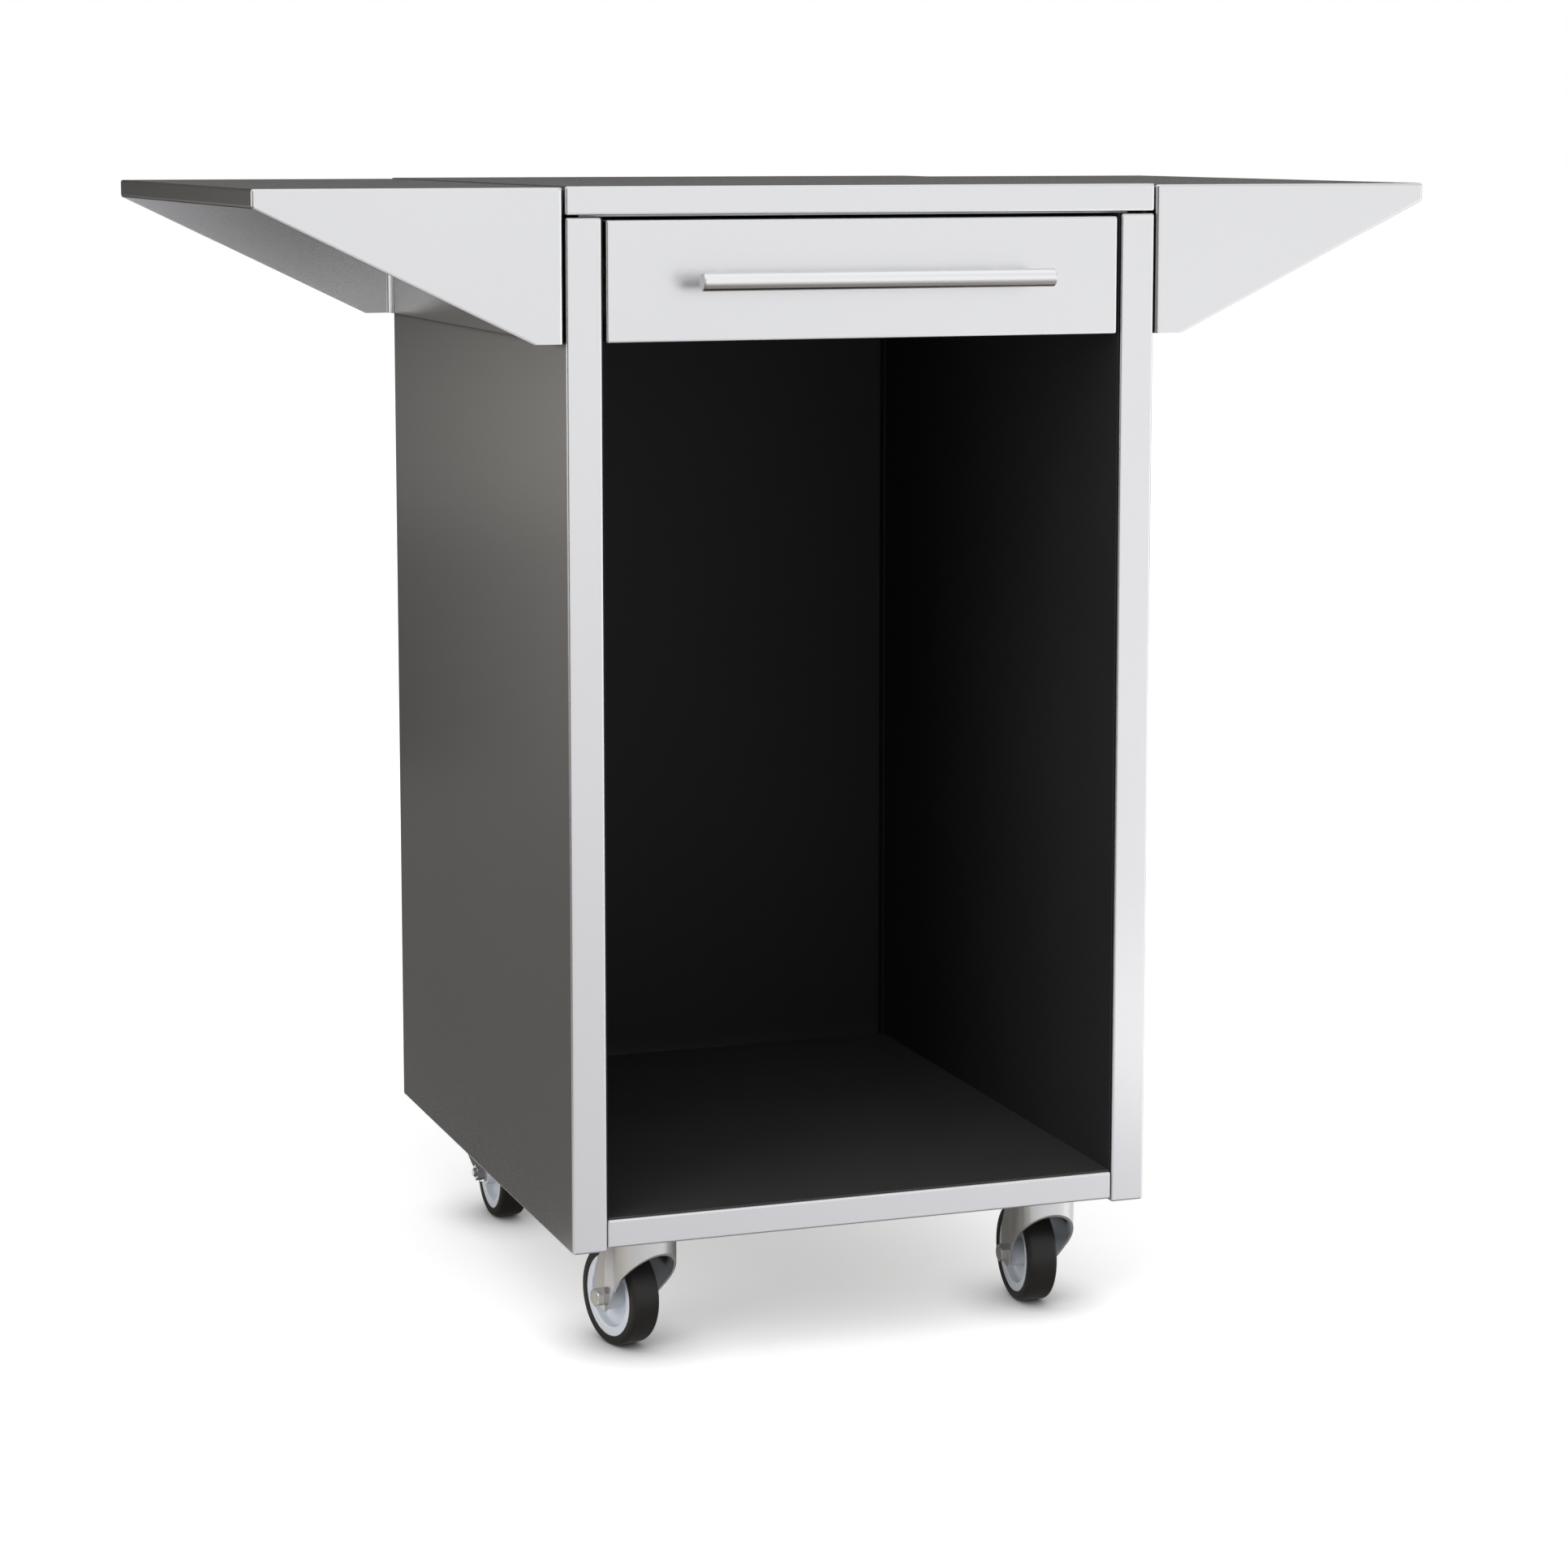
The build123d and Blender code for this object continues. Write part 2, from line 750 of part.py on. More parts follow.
with BuildPart() as kingpin:
    with BuildSketch(Plane.XY.offset(caster_height)):
        Circle(kingpin_diameter / 2)
    extrude(amount=crown_underside - swivel_clearance - caster_height)
    with BuildSketch(Plane.XY.offset(crown_underside - swivel_clearance)):
        Circle(kingpin_head_diameter / 2)
    extrude(amount=-kingpin_head_height)
    fillet(kingpin.edges().sort_by(Axis.Z)[0], kingpin_head_height / 2)

axle_bolt = hex_bolt(m8_diameter, m8_hex, m8_head_height, 2 * pad_outer + m8_nut_height + m8_tail)
axle_nut = hex_nut(m8_diameter, m8_hex, m8_nut_height)
with BuildPart() as axle_fasteners:
    with Locations(Location((-pad_outer, wheel_trail, wheel_radius), (0, 90, 0))):
        add(axle_bolt.part)
    with Locations(Location((pad_outer, wheel_trail, wheel_radius), (0, 90, 0))):
        add(axle_nut.part)

with BuildPart() as axle_sleeve:
    with BuildSketch(Plane.YZ.offset(-pad_inner)):
        with Locations((wheel_trail, wheel_radius)):
            Circle(sleeve_diameter / 2)
            Circle(m8_diameter / 2 + hole_clearance, mode=Mode.SUBTRACT)
    extrude(amount=fork_gap)


def ring_section(width, inner_radius, outer_radius):
    """Adds the section of a turned ring above the axle, to the sketch in hand."""
    with Locations((0, wheel_radius + (inner_radius + outer_radius) / 2)):
        Rectangle(width, outer_radius - inner_radius)


bore_radius = sleeve_diameter / 2 + axle_clearance
rim_inner = tyre_seat - rim_thickness
with BuildPart() as wheel_core:
    with BuildSketch(Plane.XZ.offset(-wheel_trail)) as core_section:
        ring_section(hub_length, bore_radius, hub_diameter / 2)
        ring_section(web_width, bore_radius, tyre_seat)
        ring_section(rim_width, rim_inner, tyre_seat)
        web_corners = core_section.vertices().filter_by(
            lambda vertex: abs(abs(vertex.X) - web_width / 2) < thread_clearance
        )
        fillet(web_corners, web_round)
        rim_corners = core_section.vertices().filter_by(
            lambda vertex: abs(abs(vertex.X) - rim_width / 2) < thread_clearance
        )
        fillet(rim_corners.sort_by(Axis.Y)[:2], rim_round)
    revolve(axis=axle)

with BuildPart() as tyre:
    with BuildSketch(Plane.XZ.offset(-wheel_trail)) as tyre_section:
        ring_section(tyre_width, tyre_seat, wheel_radius)
        fillet(tyre_section.vertices().group_by(Axis.Y)[-1], tyre_shoulder)
        fillet(tyre_section.vertices().group_by(Axis.Y)[0], tyre_shoulder / 4)
    revolve(axis=axle)

caster_pieces = {
    "fork": fork,
    "axle_fasteners": axle_fasteners,
    "axle_sleeve": axle_sleeve,
    "wheel_core": wheel_core,
    "tyre": tyre,
}
for corner, (x, y) in corners.items():
    for piece_name, piece in caster_pieces.items():
        save(gathered(piece, [Location((x, y, 0), (0, 0, swivel_rest[corner]))]), f"{corner}_{piece_name}")
    save(gathered(caster_plate, [Location((x, y, 0))]), f"{corner}_caster_plate")
save(gathered(kingpin, [Location((x, y, 0)) for x, y in corners.values()]), "kingpins")

# Fasteners of the casters, shelves, base and back
plate_bolt = hex_bolt(
    m6_diameter, m6_hex, m6_head_height, plate_sheet + sheet + m6_nut_height + m6_tail
)
plate_nut = hex_nut(m6_diameter, m6_hex, m6_nut_height)
bolt_places = [
    (x + side_x * plate_pitch_along / 2, y + side_y * plate_pitch_across / 2)
    for x, y in corners.values()
    for side_x in (-1, 1)
    for side_y in (-1, 1)
]
with BuildPart() as caster_bolts:
    with Locations(*[(x, y, plate_bottom) for x, y in bolt_places]):
        add(plate_bolt.part)
    with Locations(*[(x, y, caster_height + sheet) for x, y in bolt_places]):
        add(plate_nut.part)
save(caster_bolts, "caster_bolts")

mount_bolt = hex_bolt(m6_diameter, m6_hex, m6_head_height, shelf_gap + sheet + m6_nut_height + m6_tail)
with BuildPart() as left_mount_bolts:
    with Locations(*[Location((-shelf_inner, y, mount_bolt_z), (0, 90, 0)) for y in mount_bolt_y]):
        add(mount_bolt.part)
    with Locations(
        *[Location((-half_width + sheet, y, mount_bolt_z), (0, 90, 0)) for y in mount_bolt_y]
    ):
        add(plate_nut.part)
with BuildPart() as shelf_bolts:
    add(left_mount_bolts.part)
    mirror(left_mount_bolts.part, about=Plane.YZ)
save(shelf_bolts, "shelf_bolts")

back_screw = headed_pin(screw_diameter, screw_head_diameter, screw_head_height, screw_length)
back_screws = gathered(
    back_screw,
    [
        Location((side * back_screw_x, side_back + sheet, z), (90, 0, 0))
        for side in (-1, 1)
        for z in back_screw_z
    ],
)
save(back_screws, "back_screws")

rivet_body = headed_pin(rivet_diameter, rivet_head_diameter, rivet_head_height, 2 * sheet)
with BuildPart() as rivet:
    add(rivet_body.part)
    with BuildSketch(Plane.XY.offset(2 * sheet)):
        Circle(rivet_tail_diameter / 2)
    extrude(amount=rivet_tail_height)
with BuildPart() as frame_rivets:
    for side, turn in ((-1, -90), (1, 90)):
        with Locations(
            *[Location((side * (inner_x - sheet), y, base_rivet_z), (0, turn, 0)) for y in base_rivet_y]
        ):
            add(rivet.part)
        with Locations(
            *[
                Location((side * rail_rivet_x, y + top_rail_foot / 2, side_top + sheet), (180, 0, 0))
                for y in top_rail_places.values()
            ]
        ):
            add(rivet.part)
save(frame_rivets, "frame_rivets")
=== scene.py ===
# %% [markdown]
# # A rolling cabinet in brushed stainless steel
# This lesson dresses a finished CAD model. The model is loaded as a fixed frame, in metres,
# with +X to the right, +Y to the back and +Z up. Its solids keep their place and shape. What is
# made here are the finishes, the fasteners that a drawing only sketches, and the studio.

# %% Load the frame
import json
import math

import bpy
from mathutils import Matrix, Vector


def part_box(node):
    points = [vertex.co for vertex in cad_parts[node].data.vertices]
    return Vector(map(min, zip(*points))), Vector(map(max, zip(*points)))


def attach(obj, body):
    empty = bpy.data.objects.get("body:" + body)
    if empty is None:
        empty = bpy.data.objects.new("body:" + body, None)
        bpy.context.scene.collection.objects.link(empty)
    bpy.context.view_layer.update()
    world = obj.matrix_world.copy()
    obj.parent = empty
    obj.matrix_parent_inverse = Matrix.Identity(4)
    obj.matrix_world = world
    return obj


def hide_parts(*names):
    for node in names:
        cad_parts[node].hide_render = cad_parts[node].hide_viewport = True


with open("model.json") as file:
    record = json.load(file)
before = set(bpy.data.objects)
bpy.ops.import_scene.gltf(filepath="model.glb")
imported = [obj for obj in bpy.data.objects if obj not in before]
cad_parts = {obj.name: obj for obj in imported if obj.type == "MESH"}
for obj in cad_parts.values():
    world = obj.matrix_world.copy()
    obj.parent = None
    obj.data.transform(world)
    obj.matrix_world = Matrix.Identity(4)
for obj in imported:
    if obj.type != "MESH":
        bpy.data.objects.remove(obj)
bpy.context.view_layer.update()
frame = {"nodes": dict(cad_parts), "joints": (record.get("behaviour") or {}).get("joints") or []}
nodes = frame["nodes"]
corners = ["front_left", "front_right", "rear_left", "rear_right"]
mm = 0.001

# %% [markdown]
# ## Shared effects
# Several finishes share the same causes: a grain left by an abrasive belt, a faint cloudiness left
# by handling, and edges rubbed bright, which on the brushed sheets is also a painted highlight. Each
# is made once as a node group that puts out plain masks, and is placed in every finish that shows
# it. A group is edited in one place, which is why it is chosen over copying the same nodes into each
# material.

# %% A helper that opens a new node group
def open_group(name, inputs, outputs):
    group = bpy.data.node_groups.new(name, "ShaderNodeTree")
    for label, kind, value in inputs:
        socket = group.interface.new_socket(label, in_out="INPUT", socket_type=kind)
        socket.default_value = value
    for label in outputs:
        kind = "NodeSocketVector" if label == "Normal" else "NodeSocketFloat"
        group.interface.new_socket(label, in_out="OUTPUT", socket_type=kind)
    entry = group.nodes.new("NodeGroupInput")
    leave = group.nodes.new("NodeGroupOutput")
    return group, entry, leave


# %% Belt grain: long streaks along one axis, and along another on faces that look sideways
grain_group, entry, leave = open_group(
    "belt grain",
    [
        ("Across", "NodeSocketVector", (1.0, 1.0, 1.0)),
        ("Across Sides", "NodeSocketVector", (1.0, 1.0, 1.0)),
    ],
    ["Streaks", "Fine"],
)
facing = grain_group.nodes.new("ShaderNodeNewGeometry")
parts = grain_group.nodes.new("ShaderNodeSeparateXYZ")
grain_group.links.new(facing.outputs["Normal"], parts.inputs[0])
size = grain_group.nodes.new("ShaderNodeMath")
size.operation = "ABSOLUTE"
grain_group.links.new(parts.outputs["X"], size.inputs[0])
sideways = grain_group.nodes.new("ShaderNodeMath")
sideways.operation = "GREATER_THAN"
sideways.inputs[1].default_value = 0.75
grain_group.links.new(size.outputs[0], sideways.inputs[0])
choice = grain_group.nodes.new("ShaderNodeMix")
choice.data_type = "VECTOR"
grain_group.links.new(sideways.outputs[0], choice.inputs[0])
grain_group.links.new(entry.outputs["Across"], choice.inputs[4])
grain_group.links.new(entry.outputs["Across Sides"], choice.inputs[5])
place = grain_group.nodes.new("ShaderNodeTexCoord")
stretch = grain_group.nodes.new("ShaderNodeVectorMath")
stretch.operation = "MULTIPLY"
grain_group.links.new(place.outputs["Object"], stretch.inputs[0])
grain_group.links.new(choice.outputs[1], stretch.inputs[1])
for output, scale, detail in (("Streaks", 0.5, 3.0), ("Fine", 3.0, 2.0)):
    noise = grain_group.nodes.new("ShaderNodeTexNoise")
    noise.inputs["Scale"].default_value = scale
    noise.inputs["Detail"].default_value = detail
    noise.inputs["Roughness"].default_value = 0.6
    grain_group.links.new(stretch.outputs[0], noise.inputs["Vector"])
    grain_group.links.new(noise.outputs["Fac"], leave.inputs[output])
print("group", grain_group.name)

# %% Cloudiness: broad soft patches and small specks
cloud_group, entry, leave = open_group(
    "cloudiness",
    [("Patch Scale", "NodeSocketFloat", 6.0), ("Speck Scale", "NodeSocketFloat", 900.0)],
    ["Patches", "Specks"],
)
place = cloud_group.nodes.new("ShaderNodeTexCoord")
for output, size in (("Patches", "Patch Scale"), ("Specks", "Speck Scale")):
    noise = cloud_group.nodes.new("ShaderNodeTexNoise")
    noise.inputs["Detail"].default_value = 2.0
    cloud_group.links.new(place.outputs["Object"], noise.inputs["Vector"])
    cloud_group.links.new(entry.outputs[size], noise.inputs["Scale"])
    cloud_group.links.new(noise.outputs["Fac"], leave.inputs[output])
print("group", cloud_group.name)

# %% Edge mask for wear and painted highlight: where the rounded-over normal leaves the true one, broken up by a noise
wear_and_highlight_group, entry, leave = open_group(
    "edge wear", [("Reach", "NodeSocketFloat", 1 * mm)], ["Wear", "Normal"]
)
rounded = wear_and_highlight_group.nodes.new("ShaderNodeBevel")
rounded.samples = 4
wear_and_highlight_group.links.new(entry.outputs["Reach"], rounded.inputs["Radius"])
true = wear_and_highlight_group.nodes.new("ShaderNodeNewGeometry")
agree = wear_and_highlight_group.nodes.new("ShaderNodeVectorMath")
agree.operation = "DOT_PRODUCT"
wear_and_highlight_group.links.new(rounded.outputs["Normal"], agree.inputs[0])
wear_and_highlight_group.links.new(true.outputs["Normal"], agree.inputs[1])
edge = wear_and_highlight_group.nodes.new("ShaderNodeMapRange")
edge.inputs["From Min"].default_value = 0.99
edge.inputs["From Max"].default_value = 0.85
wear_and_highlight_group.links.new(agree.outputs["Value"], edge.inputs["Value"])
place = wear_and_highlight_group.nodes.new("ShaderNodeTexCoord")
patchy = wear_and_highlight_group.nodes.new("ShaderNodeTexNoise")
patchy.inputs["Scale"].default_value = 90.0
wear_and_highlight_group.links.new(place.outputs["Object"], patchy.inputs["Vector"])
worn = wear_and_highlight_group.nodes.new("ShaderNodeMath")
worn.operation = "MULTIPLY"
wear_and_highlight_group.links.new(edge.outputs["Result"], worn.inputs[0])
wear_and_highlight_group.links.new(patchy.outputs["Fac"], worn.inputs[1])
wear_and_highlight_group.links.new(worn.outputs["Value"], leave.inputs["Wear"])
wear_and_highlight_group.links.new(rounded.outputs["Normal"], leave.inputs["Normal"])
print("group", wear_and_highlight_group.name)


# %% Helpers that start a finish, place a group in it, and turn a mask into values, colours or relief
def open_finish(name):
    finish = bpy.data.materials.new(name)
    finish.use_nodes = True
    return finish, finish.node_tree, finish.node_tree.nodes["Principled BSDF"]


def place_group(tree, group, **values):
    placed = tree.nodes.new("ShaderNodeGroup")
    placed.node_tree = group
    for label, value in values.items():
        placed.inputs[label.replace("_", " ")].default_value = value
    return placed.outputs


def spread(tree, source, low, high):
    ranged = tree.nodes.new("ShaderNodeMapRange")
    ranged.inputs["From Min"].default_value = 0.3
    ranged.inputs["From Max"].default_value = 0.7
    ranged.inputs["To Min"].default_value = low
    ranged.inputs["To Max"].default_value = high
    tree.links.new(source, ranged.inputs["Value"])
    return ranged.outputs["Result"]


def blend_colours(tree, mask, first, second):
    mix = tree.nodes.new("ShaderNodeMix")
    mix.data_type = "RGBA"
    tree.links.new(mask, mix.inputs[0])
    for socket, colour in ((mix.inputs[6], first), (mix.inputs[7], second)):
        if isinstance(colour, tuple):
            socket.default_value = (*colour, 1.0)
        else:
            tree.links.new(colour, socket)
    return mix.outputs[2]


def emboss(tree, shader, height, normal, strength, depth):
    bump = tree.nodes.new("ShaderNodeBump")
    tree.links.new(normal, bump.inputs["Normal"])
    bump.inputs["Strength"].default_value = strength
    bump.inputs["Distance"].default_value = depth
    tree.links.new(height, bump.inputs["Height"])
    tree.links.new(bump.outputs["Normal"], shader.inputs["Normal"])


# %% [markdown]
# ## Brushed stainless
# The sheets are satin stainless: a bright metal whose belt grain runs along the length of each
# sheet. Grain could be an image, but streaked noise needs none and never repeats. The streaks are
# stretched along X on the wide pieces and along Z on the tall ones, as the sheets were cut. From
# a few metres the single scratches melt together, so the grain is finer than a millimetre and the
# broader streaks only change the gloss a little.

# %% Brushed stainless in two grain directions
def brushed_steel(name, across, across_sides, tone, rough_low, rough_high):
    finish, tree, shader = open_finish(name)
    grain = place_group(tree, grain_group, Across=across, Across_Sides=across_sides)
    cloud = place_group(tree, cloud_group, Patch_Scale=4.0, Speck_Scale=300.0)
    wear = place_group(tree, wear_and_highlight_group, Reach=0.8 * mm)
    shader.inputs["Metallic"].default_value = 1.0
    dark = (0.98 * tone, 0.983 * tone, 0.997 * tone)
    light = (1.02 * tone, 1.023 * tone, 1.037 * tone)
    # Edge wear and painted highlight: the sharp edges of the sheets are painted brighter than the sheet.
    worn_and_highlighted_edge = (0.86, 0.86, 0.87)
    body = blend_colours(tree, cloud["Patches"], dark, light)
    tree.links.new(blend_colours(tree, wear["Wear"], body, worn_and_highlighted_edge), shader.inputs["Base Color"])
    tree.links.new(spread(tree, grain["Streaks"], rough_low, rough_high), shader.inputs["Roughness"])
    emboss(tree, shader, grain["Fine"], wear["Normal"], strength=0.03, depth=0.01 * mm)
    return finish


along_x = (9.0, 900.0, 900.0)
along_y = (900.0, 9.0, 900.0)
along_z = (900.0, 900.0, 9.0)
wide_steel = brushed_steel(
    "brushed stainless wide", along_x, along_y, tone=0.77, rough_low=0.26, rough_high=0.271
)
tall_steel = brushed_steel(
    "brushed stainless tall", along_z, along_z, tone=0.77, rough_low=0.254, rough_high=0.263
)
bar_steel = brushed_steel(
    "brushed handle bar", along_x, along_y, tone=0.86, rough_low=0.24, rough_high=0.26
)
print("finishes", wide_steel.name, tall_steel.name, bar_steel.name)

# %% [markdown]
# The bar's underside is painted darker than its top and front: a painted shade where the bar faces
# down. It could be a second material on the lower faces, but that would end in a hard line. A mask
# from the surface's own direction fades over.

# %% Painted shade on the underside of the bar
tree = bar_steel.node_tree
shader = tree.nodes["Principled BSDF"]
bar_colour = shader.inputs["Base Color"].links[0].from_socket
# Painted shade: the colour of the bar's underside, which faces down.
underside_shade = (0.29, 0.27, 0.25)
facing = tree.nodes.new("ShaderNodeNewGeometry")
parts = tree.nodes.new("ShaderNodeSeparateXYZ")
tree.links.new(facing.outputs["Normal"], parts.inputs[0])
topside_share = tree.nodes.new("ShaderNodeMapRange")
topside_share.interpolation_type = "SMOOTHSTEP"
topside_share.inputs["From Min"].default_value = -0.45
topside_share.inputs["From Max"].default_value = 0.0
tree.links.new(parts.outputs["Z"], topside_share.inputs["Value"])
shaded = blend_colours(tree, topside_share.outputs["Result"], underside_shade, bar_colour)
tree.links.new(shaded, shader.inputs["Base Color"])
print("dull underside on", bar_steel.name)

# %% [markdown]
# Where two sheets meet, a thin dark line of painted shade is drawn in the corner. It could be painted
# along every seam, but an ambient occlusion node finds the corners by itself.

# %% Painted shade in the seams of the tall sheets
tree = tall_steel.node_tree
shader = tree.nodes["Principled BSDF"]
unshaded_colour = shader.inputs["Base Color"].links[0].from_socket
# Painted shade: the dark colour drawn into the corners where sheets meet.
seam_shade = (0.1, 0.095, 0.09)
corner_shade = tree.nodes.new("ShaderNodeAmbientOcclusion")
corner_shade.samples = 4
corner_shade.inputs["Distance"].default_value = 6 * mm
unshaded_share = tree.nodes.new("ShaderNodeMapRange")
unshaded_share.inputs["From Min"].default_value = 0.6
unshaded_share.inputs["From Max"].default_value = 0.95
tree.links.new(corner_shade.outputs["AO"], unshaded_share.inputs["Value"])
seams = blend_colours(tree, unshaded_share.outputs["Result"], seam_shade, unshaded_colour)
tree.links.new(seams, shader.inputs["Base Color"])
print("dark seams on", tall_steel.name)

# %% [markdown]
# ## Plain and plated steel
# Hidden rails, channels and the drawer's tray are plain rolled steel with a faint spangle. The
# casters and runners are zinc plated: brighter, with a fine pebbled skin. The fasteners are plated
# too. All come from the same recipe with other numbers, and all rub bright along their edges.

# %% Plain sheet, zinc plate and plated fasteners
def plated_steel(name, dark, light, rough_low, rough_high, patch, speck, depth):
    finish, tree, shader = open_finish(name)
    cloud = place_group(tree, cloud_group, Patch_Scale=patch, Speck_Scale=speck)
    wear = place_group(tree, wear_and_highlight_group, Reach=0.6 * mm)
    shader.inputs["Metallic"].default_value = 1.0
    worn_and_highlighted_edge = (0.84, 0.83, 0.82)
    skin = blend_colours(tree, cloud["Patches"], dark, light)
    tree.links.new(blend_colours(tree, wear["Wear"], skin, worn_and_highlighted_edge), shader.inputs["Base Color"])
    tree.links.new(spread(tree, cloud["Patches"], rough_low, rough_high), shader.inputs["Roughness"])
    emboss(tree, shader, cloud["Specks"], wear["Normal"], strength=0.15, depth=depth)
    return finish


sheet_steel = plated_steel(
    "plain sheet steel", (0.54, 0.55, 0.56), (0.62, 0.63, 0.64),
    rough_low=0.34, rough_high=0.44, patch=30.0, speck=700.0, depth=0.02 * mm,
)
zinc_steel = plated_steel(
    "zinc plate", (0.71, 0.71, 0.71), (0.75, 0.75, 0.75),
    rough_low=0.24, rough_high=0.27, patch=40.0, speck=1500.0, depth=0.004 * mm,
)
bolt_steel = plated_steel(
    "plated fastener", (0.66, 0.66, 0.65), (0.71, 0.71, 0.7),
    rough_low=0.22, rough_high=0.27, patch=120.0, speck=2600.0, depth=0.004 * mm,
)
print("finishes", sheet_steel.name, zinc_steel.name, bolt_steel.name)

# %% [markdown]
# ## Black coating, grey wheel and dark tread
# The compartment is lined in matt black. A powder coat has a fine orange peel, so its relief is a
# small noise and its gloss varies a little. On the compartment's floor a paler copy of the coat is
# used: painted light. The wheel is moulded plastic, and its tyre is a dark elastic tread with a dull,
# slightly mottled skin.

# %% Coatings and plastics
def coating(name, dark, light, rough_low, rough_high, patch, speck, depth, shine):
    finish, tree, shader = open_finish(name)
    cloud = place_group(tree, cloud_group, Patch_Scale=patch, Speck_Scale=speck)
    wear = place_group(tree, wear_and_highlight_group, Reach=0.6 * mm)
    shader.inputs["Specular IOR Level"].default_value = shine
    skin = blend_colours(tree, cloud["Patches"], dark, light)
    worn_and_highlighted_edge = tuple(1.6 * value for value in light)
    tree.links.new(blend_colours(tree, wear["Wear"], skin, worn_and_highlighted_edge), shader.inputs["Base Color"])
    tree.links.new(spread(tree, cloud["Specks"], rough_low, rough_high), shader.inputs["Roughness"])
    emboss(tree, shader, cloud["Specks"], wear["Normal"], strength=0.3, depth=depth)
    return finish


black_coat = coating(
    "matt black coat", (0.016, 0.016, 0.0165), (0.023, 0.023, 0.0235),
    rough_low=0.5, rough_high=0.6, patch=5.0, speck=900.0, depth=0.06 * mm, shine=0.2,
)
# Painted light: a paler copy of the black coat for the compartment's floor.
floor_coat_painted_lighter = coating(
    "black coat painted lighter", (0.034, 0.034, 0.034), (0.046, 0.046, 0.046),
    rough_low=0.46, rough_high=0.58, patch=9.0, speck=900.0, depth=0.06 * mm, shine=0.35,
)
grey_plastic = coating(
    "grey moulded wheel", (0.62, 0.655, 0.7), (0.67, 0.705, 0.75),
    rough_low=0.36, rough_high=0.44, patch=60.0, speck=1800.0, depth=0.02 * mm, shine=0.5,
)
dark_tread = coating(
    "dark elastic tread", (0.012, 0.011, 0.0105), (0.018, 0.0165, 0.0155),
    rough_low=0.38, rough_high=0.5, patch=80.0, speck=1600.0, depth=0.04 * mm, shine=0.35,
)
print("finishes", black_coat.name, floor_coat_painted_lighter.name, grey_plastic.name, dark_tread.name)

# %% [markdown]
# ## Which piece takes which finish
# Every solid of the frame gets its finish here, by name. Pieces that come once per corner are
# named with the corner in front.

# %% Dress the frame's own solids
members = ("outer", "middle", "inner")
runners = [f"{side}_runner_{member}" for side in ("left", "right") for member in members]
caster_pieces = ("fork", "caster_plate", "axle_sleeve")
casters = [f"{corner}_{piece}" for corner in corners for piece in caster_pieces]
dressing = {
    wide_steel: ["worktop", "left_shelf", "right_shelf", "drawer_front", "base_pan"],
    tall_steel: [
        "left_side_panel", "right_side_panel", "back_panel", "left_shelf_mount", "right_shelf_mount"
    ],
    bar_steel: ["handle_bar", "handle_posts"],
    black_coat: ["left_liner", "right_liner", "rear_liner"],
    floor_coat_painted_lighter: ["floor_liner"],
    sheet_steel: [
        "front_top_rail", "rear_top_rail", "front_caster_channel", "rear_caster_channel", "drawer_box"
    ],
    zinc_steel: runners + casters + ["kingpins"],
    bolt_steel: ["caster_bolts", "shelf_bolts", "back_screws", "frame_rivets", "drawer_screws"]
    + [f"{corner}_axle_fasteners" for corner in corners],
    grey_plastic: [f"{corner}_wheel_core" for corner in corners],
    dark_tread: [f"{corner}_tyre" for corner in corners],
}
for finish, names in dressing.items():
    for name in names:
        nodes[name].data.materials.clear()
        nodes[name].data.materials.append(finish)
bare = sorted(set(nodes) - {name for names in dressing.values() for name in names})
print("dressed", len(nodes) - len(bare), "bare", bare)

# %% [markdown]
# ## Bolts and nuts
# A hexagon head is forged and then faced on a lathe, so a cone trims its six corners to arcs. The
# drawing leaves that out. A bevel would cut straight corners, so the hexagon is cut down to what it
# shares with a cone. The thread shows only where the rod leaves its nut: there the end face is
# drawn out in short steps that turn in and out, with a pointed last step.

# %% Helpers: keep a mesh at the origin, trim one mesh with another, and join several
def settle(piece):
    bpy.ops.object.select_all(action="DESELECT")
    piece.select_set(True)
    bpy.context.view_layer.objects.active = piece
    bpy.ops.object.transform_apply(location=True, rotation=True, scale=True)


def trim(piece, tool, how):
    settle(piece)
    cut = piece.modifiers.new("trim", "BOOLEAN")
    cut.operation = how
    cut.solver = "EXACT"
    cut.object = tool
    bpy.ops.object.modifier_apply(modifier=cut.name)
    bpy.data.objects.remove(tool, do_unlink=True)


def merge(pieces, name):
    bpy.ops.object.select_all(action="DESELECT")
    for piece in pieces:
        piece.select_set(True)
    bpy.context.view_layer.objects.active = pieces[0]
    if len(pieces) > 1:
        bpy.ops.object.join()
    pieces[0].name = name
    return pieces[0]


# %% A hexagon faced by a cone at one end or both
facing_slope = math.tan(math.radians(30))
face_share = 0.475  # radius of the faced circle, as a share of the width across flats


def faced_hexagon(flats, low, high, ends):
    height = high - low
    middle = (0, 0, (low + high) / 2)
    bpy.ops.mesh.primitive_cylinder_add(
        vertices=6, radius=flats / math.sqrt(3), depth=height, location=middle
    )
    hexagon = bpy.context.object
    settle(hexagon)
    face = face_share * flats
    base = face + height / facing_slope
    for end in ends:
        wide, narrow = (base, face) if end > 0 else (face, base)
        bpy.ops.mesh.primitive_cone_add(
            vertices=96, radius1=wide, radius2=narrow, depth=height, location=middle
        )
        trim(hexagon, bpy.context.object, "INTERSECT")
    return hexagon


# %% A rod whose free end carries a few turns of thread
valley = 0.86  # how far a step of the thread draws in
pitch_share = 0.15  # height of such a step, as a share of the free end
point = 0.8
point_share = 0.4


